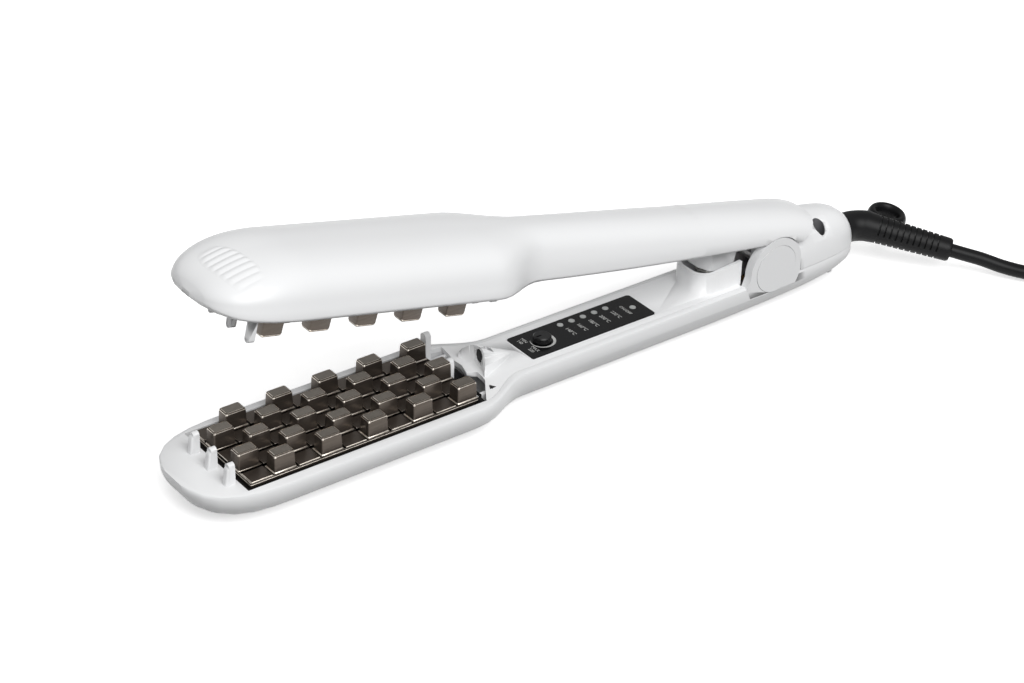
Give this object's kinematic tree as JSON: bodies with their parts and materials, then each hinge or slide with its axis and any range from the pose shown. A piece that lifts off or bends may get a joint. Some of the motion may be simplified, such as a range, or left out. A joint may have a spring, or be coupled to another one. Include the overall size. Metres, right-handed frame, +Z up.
{
  "type": "hair crimper",
  "caption": "Two-armed hair crimper with studded heating plates, sprung tail hinge, temperature knob, indicator lamps and a swivelling cord with plug.",
  "frame": {"origin": "on the table under the middle of the casing, at the bottom centre of the box of the casing and arms without the cord", "axes": "+X from the nose to the tail along the lower arm, +Y to the far side along the hinge pin, +Z up"},
  "size_m": [0.513, 0.1043, 0.0897],
  "materials": {
    "white_casing": "satin",
    "white_cover": "satin",
    "bronze_plate": "glossy ceramic coat",
    "heatproof_resin": "matt",
    "heater_sleeve": "plain",
    "mica": "sheet",
    "spring_steel": "plain",
    "steel": "plain",
    "black_gloss": "glossy",
    "black_plastic": "satin",
    "clear_lens": "clear",
    "led_resin": "clear",
    "circuit_green": "satin",
    "blue_case": "satin",
    "brass": "plain",
    "lead_sheath": "matt",
    "black_rubber": "matt",
    "pin_metal": "plated"
  },
  "bodies": {
    "lower_arm": {"lower_shell": "white_casing", "lower_deck": "white_cover", "lower_plate": "bronze_plate", "lower_plate_frame": "heatproof_resin", "lower_heater": "heater_sleeve", "lower_insulator": "mica", "lower_heater_spring": "spring_steel", "lower_thermistor": "black_plastic", "control_overlay": "black_gloss", "indicator_lens_1": "clear_lens", "indicator_lens_2": "clear_lens", "indicator_lens_3": "clear_lens", "indicator_lens_4": "clear_lens", "indicator_lens_5": "clear_lens", "indicator_lens_6": "clear_lens", "indicator_led_1": "led_resin", "indicator_led_2": "led_resin", "indicator_led_3": "led_resin", "indicator_led_4": "led_resin", "indicator_led_5": "led_resin", "indicator_led_6": "led_resin", "circuit_board": "circuit_green", "board_parts": "black_plastic", "potentiometer": "blue_case", "hinge_pin": "steel", "near_hinge_cap": "white_casing", "far_hinge_cap": "white_casing", "arm_spring": "spring_steel", "tail_cover": "white_casing", "near_tail_screw": "steel", "far_tail_screw": "steel", "deck_screw": "steel", "swivel_socket": "heatproof_resin", "near_contact_spring": "brass", "far_contact_spring": "brass", "near_mains_lead": "lead_sheath", "far_mains_lead": "lead_sheath", "cord_lead": "black_rubber", "cord_coil": "black_rubber", "cord_end": "black_rubber", "coil_tie": "black_rubber", "plug_body": "black_rubber", "near_plug_pin": "pin_metal", "far_plug_pin": "pin_metal"},
    "upper_arm": {"upper_shell": "white_casing", "upper_liner": "white_cover", "upper_plate": "bronze_plate", "upper_plate_frame": "heatproof_resin", "upper_heater": "heater_sleeve", "upper_insulator": "mica", "upper_heater_spring": "spring_steel", "thermal_fuse": "black_plastic", "liner_screw": "steel"},
    "knob": {"temperature_knob": "black_plastic", "knob_shaft": "steel"},
    "cord_swivel": {"swivel_boot": "black_rubber", "slip_ring_core": "brass"}
  },
  "joints": [
    {"name": "arm_hinge", "type": "hinge", "parent": "lower_arm", "child": "upper_arm", "pos_m": [0.10142, 0, 0.01935], "axis": [0, 1, 0], "range_deg": [-13, 0], "stiffness_Nm_per_rad": 0.8, "springref_deg": 20.05, "deforming": ["arm_spring"]},
    {"name": "temperature_turn", "type": "hinge", "parent": "lower_arm", "child": "knob", "pos_m": [0.00432, 0, 0.016], "axis": [0, 0, 1], "range_deg": [-135, 135]},
    {"name": "cord_turn", "type": "hinge", "parent": "lower_arm", "child": "cord_swivel", "pos_m": [0.138, 0, 0.01565], "axis": [1, 0, 0], "continuous": true}
  ]
}
